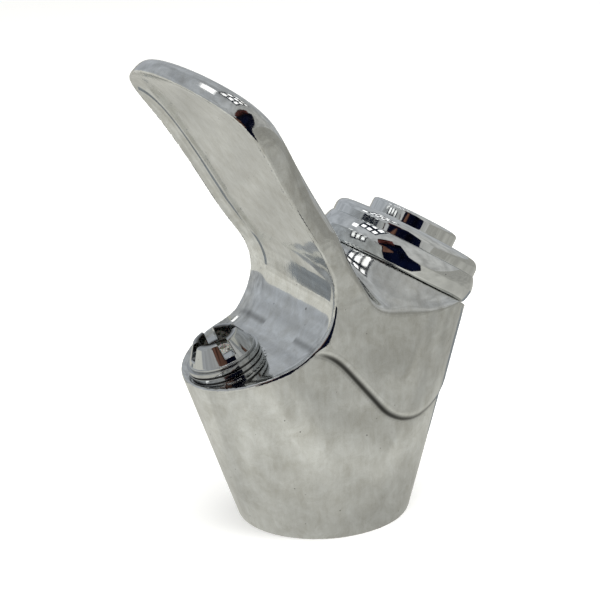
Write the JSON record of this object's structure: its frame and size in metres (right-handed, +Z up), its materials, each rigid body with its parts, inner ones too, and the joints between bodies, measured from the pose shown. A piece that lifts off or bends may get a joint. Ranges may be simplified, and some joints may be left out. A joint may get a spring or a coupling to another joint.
{
  "type": "water cooler faucet",
  "caption": "Self-closing push-button drinking faucet: a chromed one-piece casting with flared base, crown nozzle, tall curled mouth guard and tilted button boss.",
  "frame": {"origin": "centre of the base face, on the axis of the inlet thread", "axes": "+Z up from the base face, -Y towards the nozzle and the drinker, +Y towards the button, X across"},
  "size_m": [0.0626, 0.0779, 0.1121],
  "materials": {
    "chrome_plate": "polished chrome plate over cast or turned brass",
    "raw_brass": "turned",
    "stainless": "stainless steel, drawn or turned",
    "acetal": "natural acetal, turned",
    "black_rubber": "moulded rubber, matt"
  },
  "bodies": {
    "head": {"faucet_body": "chrome_plate", "nozzle_crown": "chrome_plate", "nozzle_ring": "chrome_plate", "bonnet_ring": "chrome_plate", "bonnet_cap": "chrome_plate", "nozzle_gasket": "black_rubber", "stream_former": "acetal", "bonnet_gasket": "black_rubber", "valve_sleeve": "acetal", "sleeve_seal_upper": "black_rubber", "sleeve_seal_lower": "black_rubber", "retaining_clip": "stainless", "gland_seal": "black_rubber", "valve_seat": "stainless", "return_spring": "stainless", "spring_washer": "stainless", "inlet_strainer": "stainless", "base_gasket": "black_rubber"},
    "button": {"push_button": "chrome_plate", "valve_stem": "raw_brass", "poppet_disc": "black_rubber", "poppet_holder": "raw_brass", "stem_nut": "raw_brass"},
    "adjuster": {"adjusting_screw": "stainless"}
  },
  "joints": [
    {"name": "button_push", "type": "slide", "parent": "head", "child": "button", "axis": [0, -0.5373, -0.8434], "range_m": [0, 0.003], "stiffness_N_per_m": 600, "springref_m": -0.01, "deforming": ["return_spring"]},
    {"name": "stream_adjust", "type": "hinge", "parent": "button", "child": "adjuster", "pos_m": [0, 0.0206, 0.0568], "axis": [0, 0.5373, 0.8434], "range_deg": [-180, 180]}
  ]
}
